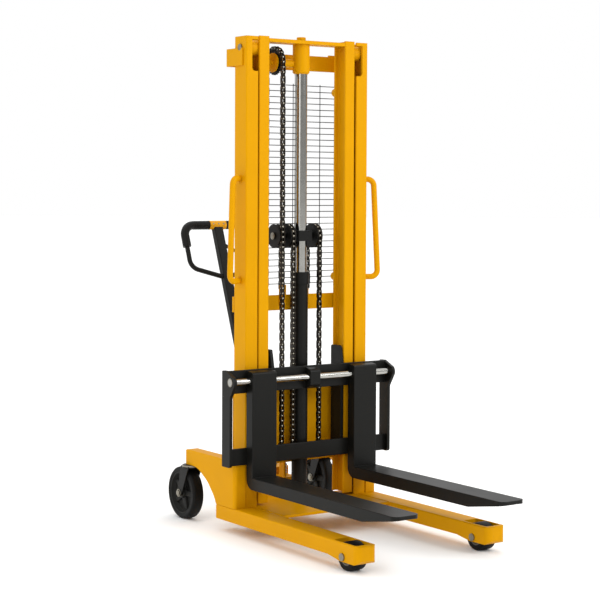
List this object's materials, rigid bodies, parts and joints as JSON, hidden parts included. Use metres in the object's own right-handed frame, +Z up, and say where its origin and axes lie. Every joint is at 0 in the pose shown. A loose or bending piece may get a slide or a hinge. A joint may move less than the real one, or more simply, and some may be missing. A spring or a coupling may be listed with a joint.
{
  "type": "walkie stacker",
  "caption": "Pedestrian pallet stacker: straddle legs, two-stage telescoping mast with chain lift, sliding forks on a hanging carriage, swivel casters and a pump tiller.",
  "frame": {"origin": "on the floor, at the centre of the footprint of the whole machine", "axes": "+Z up the mast, forks point towards -Y, tiller towards +Y, +X to the right of someone looking along +Y"},
  "size_m": [0.733, 1.5743, 1.836],
  "materials": {
    "yellow_paint": "gloss powder coat",
    "charcoal_paint": "semi-gloss powder coat",
    "chrome": "polished",
    "bright_steel": "zinc plated",
    "oiled_steel": "dark, oiled",
    "wheel_nylon": "moulded nylon",
    "grip_rubber": "matte",
    "yellow_plastic": "moulded"
  },
  "bodies": {
    "frame": {"left_leg": "yellow_paint", "right_leg": "yellow_paint", "base_plate": "yellow_paint", "left_wing": "yellow_paint", "right_wing": "yellow_paint", "left_outer_mast": "yellow_paint", "right_outer_mast": "yellow_paint", "upper_brace": "yellow_paint", "lower_crossbar": "yellow_paint", "rear_panel": "yellow_paint", "mesh_guard": "oiled_steel", "left_side_handle": "yellow_paint", "right_side_handle": "yellow_paint", "cylinder_barrel": "charcoal_paint", "cylinder_gland": "charcoal_paint", "pump_body": "yellow_paint", "frame_axles": "bright_steel", "chain_rears": "oiled_steel", "pump_spring": "bright_steel"},
    "inner_mast": {"left_inner_mast": "yellow_paint", "right_inner_mast": "yellow_paint", "mast_top_plate": "yellow_paint", "lift_rod": "chrome", "rod_sleeve": "yellow_paint", "rod_cap_nut": "yellow_paint", "crosshead": "charcoal_paint", "sprocket_bracket": "yellow_paint", "chain_fronts": "oiled_steel"},
    "carriage": {"top_rail": "charcoal_paint", "low_rail": "charcoal_paint", "left_side_plate": "charcoal_paint", "right_side_plate": "charcoal_paint", "roller_uprights": "charcoal_paint", "fork_bar": "chrome"},
    "left_fork": {"left_fork": "charcoal_paint"},
    "right_fork": {"right_fork": "charcoal_paint"},
    "tiller": {"tiller_arm": "charcoal_paint", "tiller_loop": "charcoal_paint", "tiller_grips": "grip_rubber", "grip_collar": "yellow_plastic"},
    "release_lever": {"release_lever": "charcoal_paint"},
    "pump_plunger": {"pump_plunger": "chrome"},
    "left_caster_yoke": {"left_caster_yoke": "charcoal_paint"},
    "left_caster_wheel": {"left_caster_wheel": "wheel_nylon"},
    "left_load_wheel": {"left_load_wheel": "wheel_nylon"},
    "right_caster_yoke": {"right_caster_yoke": "charcoal_paint"},
    "right_caster_wheel": {"right_caster_wheel": "wheel_nylon"},
    "right_load_wheel": {"right_load_wheel": "wheel_nylon"},
    "left_chain_pulley": {"left_chain_pulley": "charcoal_paint"},
    "right_chain_pulley": {"right_chain_pulley": "charcoal_paint"},
    "chain_idler": {"chain_idler": "charcoal_paint"},
    "top_sprocket": {"top_sprocket": "bright_steel"},
    "left_guide_roller": {"left_guide_roller": "yellow_paint"},
    "left_mast_roller": {"left_mast_roller": "bright_steel"},
    "left_lower_roller": {"left_lower_roller": "bright_steel"},
    "left_upper_roller": {"left_upper_roller": "bright_steel"},
    "right_guide_roller": {"right_guide_roller": "yellow_paint"},
    "right_mast_roller": {"right_mast_roller": "bright_steel"},
    "right_lower_roller": {"right_lower_roller": "bright_steel"},
    "right_upper_roller": {"right_upper_roller": "bright_steel"}
  },
  "joints": [
    {"name": "mast_lift", "type": "slide", "parent": "frame", "child": "inner_mast", "axis": [0, 0, 1], "range_m": [0, 0.69], "deforming": ["chain_rears"]},
    {"name": "carriage_lift", "type": "slide", "parent": "inner_mast", "child": "carriage", "axis": [0, 0, 1], "range_m": [0, 0.69], "deforming": ["chain_fronts"]},
    {"name": "left_fork_slide", "type": "slide", "parent": "carriage", "child": "left_fork", "axis": [1, 0, 0], "range_m": [-0.06, 0.13]},
    {"name": "right_fork_slide", "type": "slide", "parent": "carriage", "child": "right_fork", "axis": [1, 0, 0], "range_m": [-0.13, 0.06]},
    {"name": "tiller_pump", "type": "hinge", "parent": "frame", "child": "tiller", "pos_m": [0, 0.22915, 0.29], "axis": [-1, 0, 0], "range_deg": [0, 35], "stiffness_Nm_per_rad": 40, "springref_deg": -57.3},
    {"name": "pump_stroke", "type": "slide", "parent": "frame", "child": "pump_plunger", "axis": [0, 0, -1], "range_m": [0, 0.029], "deforming": ["pump_spring"]},
    {"name": "lever_squeeze", "type": "hinge", "parent": "tiller", "child": "release_lever", "pos_m": [0, 0.76409, 1.05369], "axis": [0, -0.9366, 0.3504], "range_deg": [0, 14], "stiffness_Nm_per_rad": 0.6, "springref_deg": -28.65},
    {"name": "left_caster_swivel", "type": "hinge", "parent": "frame", "child": "left_caster_yoke", "pos_m": [-0.308, 0.44515, 0.2135], "axis": [0, 0, 1], "continuous": true},
    {"name": "left_caster_roll", "type": "hinge", "parent": "left_caster_yoke", "child": "left_caster_wheel", "pos_m": [-0.308, 0.48915, 0.1], "axis": [1, 0, 0], "continuous": true},
    {"name": "left_load_wheel_roll", "type": "hinge", "parent": "frame", "child": "left_load_wheel", "pos_m": [-0.282, -0.55785, 0.049], "axis": [1, 0, 0], "continuous": true},
    {"name": "right_caster_swivel", "type": "hinge", "parent": "frame", "child": "right_caster_yoke", "pos_m": [0.308, 0.44515, 0.2135], "axis": [0, 0, 1], "continuous": true},
    {"name": "right_caster_roll", "type": "hinge", "parent": "right_caster_yoke", "child": "right_caster_wheel", "pos_m": [0.308, 0.48915, 0.1], "axis": [1, 0, 0], "continuous": true},
    {"name": "right_load_wheel_roll", "type": "hinge", "parent": "frame", "child": "right_load_wheel", "pos_m": [0.282, -0.55785, 0.049], "axis": [1, 0, 0], "continuous": true},
    {"name": "left_chain_pulley_spin", "type": "hinge", "parent": "inner_mast", "child": "left_chain_pulley", "pos_m": [-0.06, 0.16715, 1.092], "axis": [1, 0, 0], "continuous": true},
    {"name": "right_chain_pulley_spin", "type": "hinge", "parent": "inner_mast", "child": "right_chain_pulley", "pos_m": [0.06, 0.16715, 1.092], "axis": [1, 0, 0], "continuous": true},
    {"name": "chain_idler_spin", "type": "hinge", "parent": "inner_mast", "child": "chain_idler", "pos_m": [-0.11, 0.16715, 1.092], "axis": [1, 0, 0], "continuous": true},
    {"name": "top_sprocket_spin", "type": "hinge", "parent": "inner_mast", "child": "top_sprocket", "pos_m": [-0.11, 0.17915, 1.737], "axis": [1, 0, 0], "continuous": true},
    {"name": "left_guide_roller_spin", "type": "hinge", "parent": "frame", "child": "left_guide_roller", "pos_m": [-0.226, 0.15815, 1.785], "axis": [1, 0, 0], "continuous": true},
    {"name": "left_mast_roller_spin", "type": "hinge", "parent": "inner_mast", "child": "left_mast_roller", "pos_m": [-0.245, 0.15815, 0.15], "axis": [1, 0, 0], "continuous": true},
    {"name": "left_lower_roller_spin", "type": "hinge", "parent": "carriage", "child": "left_lower_roller", "pos_m": [-0.18, 0.15815, 0.29], "axis": [1, 0, 0], "continuous": true},
    {"name": "left_upper_roller_spin", "type": "hinge", "parent": "carriage", "child": "left_upper_roller", "pos_m": [-0.18, 0.15815, 0.635], "axis": [1, 0, 0], "continuous": true},
    {"name": "right_guide_roller_spin", "type": "hinge", "parent": "frame", "child": "right_guide_roller", "pos_m": [0.226, 0.15815, 1.785], "axis": [1, 0, 0], "continuous": true},
    {"name": "right_mast_roller_spin", "type": "hinge", "parent": "inner_mast", "child": "right_mast_roller", "pos_m": [0.245, 0.15815, 0.15], "axis": [1, 0, 0], "continuous": true},
    {"name": "right_lower_roller_spin", "type": "hinge", "parent": "carriage", "child": "right_lower_roller", "pos_m": [0.18, 0.15815, 0.29], "axis": [1, 0, 0], "continuous": true},
    {"name": "right_upper_roller_spin", "type": "hinge", "parent": "carriage", "child": "right_upper_roller", "pos_m": [0.18, 0.15815, 0.635], "axis": [1, 0, 0], "continuous": true}
  ],
  "couplings": [
    {"joint": "carriage_lift", "follows": "mast_lift", "ratio": 1},
    {"joint": "pump_stroke", "follows": "tiller_pump", "m_per_rad": 0.046},
    {"joint": "left_chain_pulley_spin", "follows": "mast_lift", "rad_per_m": -25},
    {"joint": "right_chain_pulley_spin", "follows": "mast_lift", "rad_per_m": -25},
    {"joint": "chain_idler_spin", "follows": "mast_lift", "rad_per_m": -29.412},
    {"joint": "top_sprocket_spin", "follows": "mast_lift", "rad_per_m": -18.518},
    {"joint": "left_guide_roller_spin", "follows": "mast_lift", "rad_per_m": -36.101},
    {"joint": "left_mast_roller_spin", "follows": "mast_lift", "rad_per_m": -32.573},
    {"joint": "left_lower_roller_spin", "follows": "mast_lift", "rad_per_m": -36.101},
    {"joint": "left_upper_roller_spin", "follows": "mast_lift", "rad_per_m": 36.101},
    {"joint": "right_guide_roller_spin", "follows": "mast_lift", "rad_per_m": -36.101},
    {"joint": "right_mast_roller_spin", "follows": "mast_lift", "rad_per_m": -32.573},
    {"joint": "right_lower_roller_spin", "follows": "mast_lift", "rad_per_m": -36.101},
    {"joint": "right_upper_roller_spin", "follows": "mast_lift", "rad_per_m": 36.101}
  ]
}
